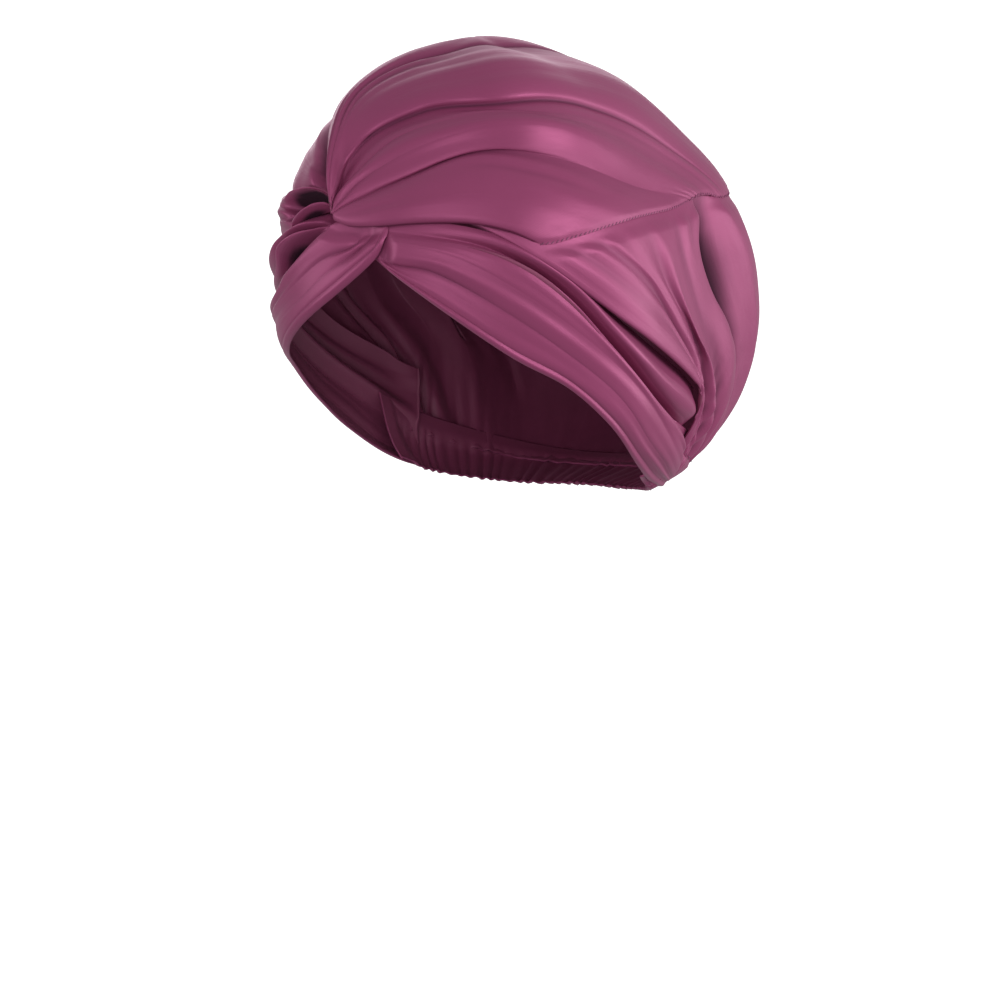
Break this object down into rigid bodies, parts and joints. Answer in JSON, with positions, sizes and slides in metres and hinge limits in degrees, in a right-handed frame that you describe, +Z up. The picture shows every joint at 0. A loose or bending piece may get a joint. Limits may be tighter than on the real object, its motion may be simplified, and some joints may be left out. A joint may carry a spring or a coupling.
{
  "type": "sleep bonnet",
  "caption": "Worn satin sleep bonnet: a twist turban with two crossed wraps at the brow, a gathered crown, a folded back and an elastic nape casing.",
  "frame": {"origin": "middle of the head opening, on the head's axis, level with the lowest rim at the nape", "axes": "+Z up along the head's axis, -Y towards the brow, +X towards the wearer's left"},
  "size_m": [0.1752, 0.2588, 0.1986],
  "materials": {
    "left_crown": "mauve satin, smooth, semi-gloss",
    "right_crown": "mauve satin, smooth, semi-gloss",
    "left_band": "mauve satin, smooth, semi-gloss",
    "right_band": "mauve satin, smooth, semi-gloss",
    "back_panel": "mauve satin, smooth, semi-gloss",
    "nape_casing": "mauve satin, gathered on elastic"
  },
  "bodies": {
    "root": {"left_crown": "left_crown", "right_crown": "right_crown", "left_band": "left_band", "right_band": "right_band", "back_panel": "back_panel", "nape_casing": "nape_casing"}
  },
  "joints": []
}
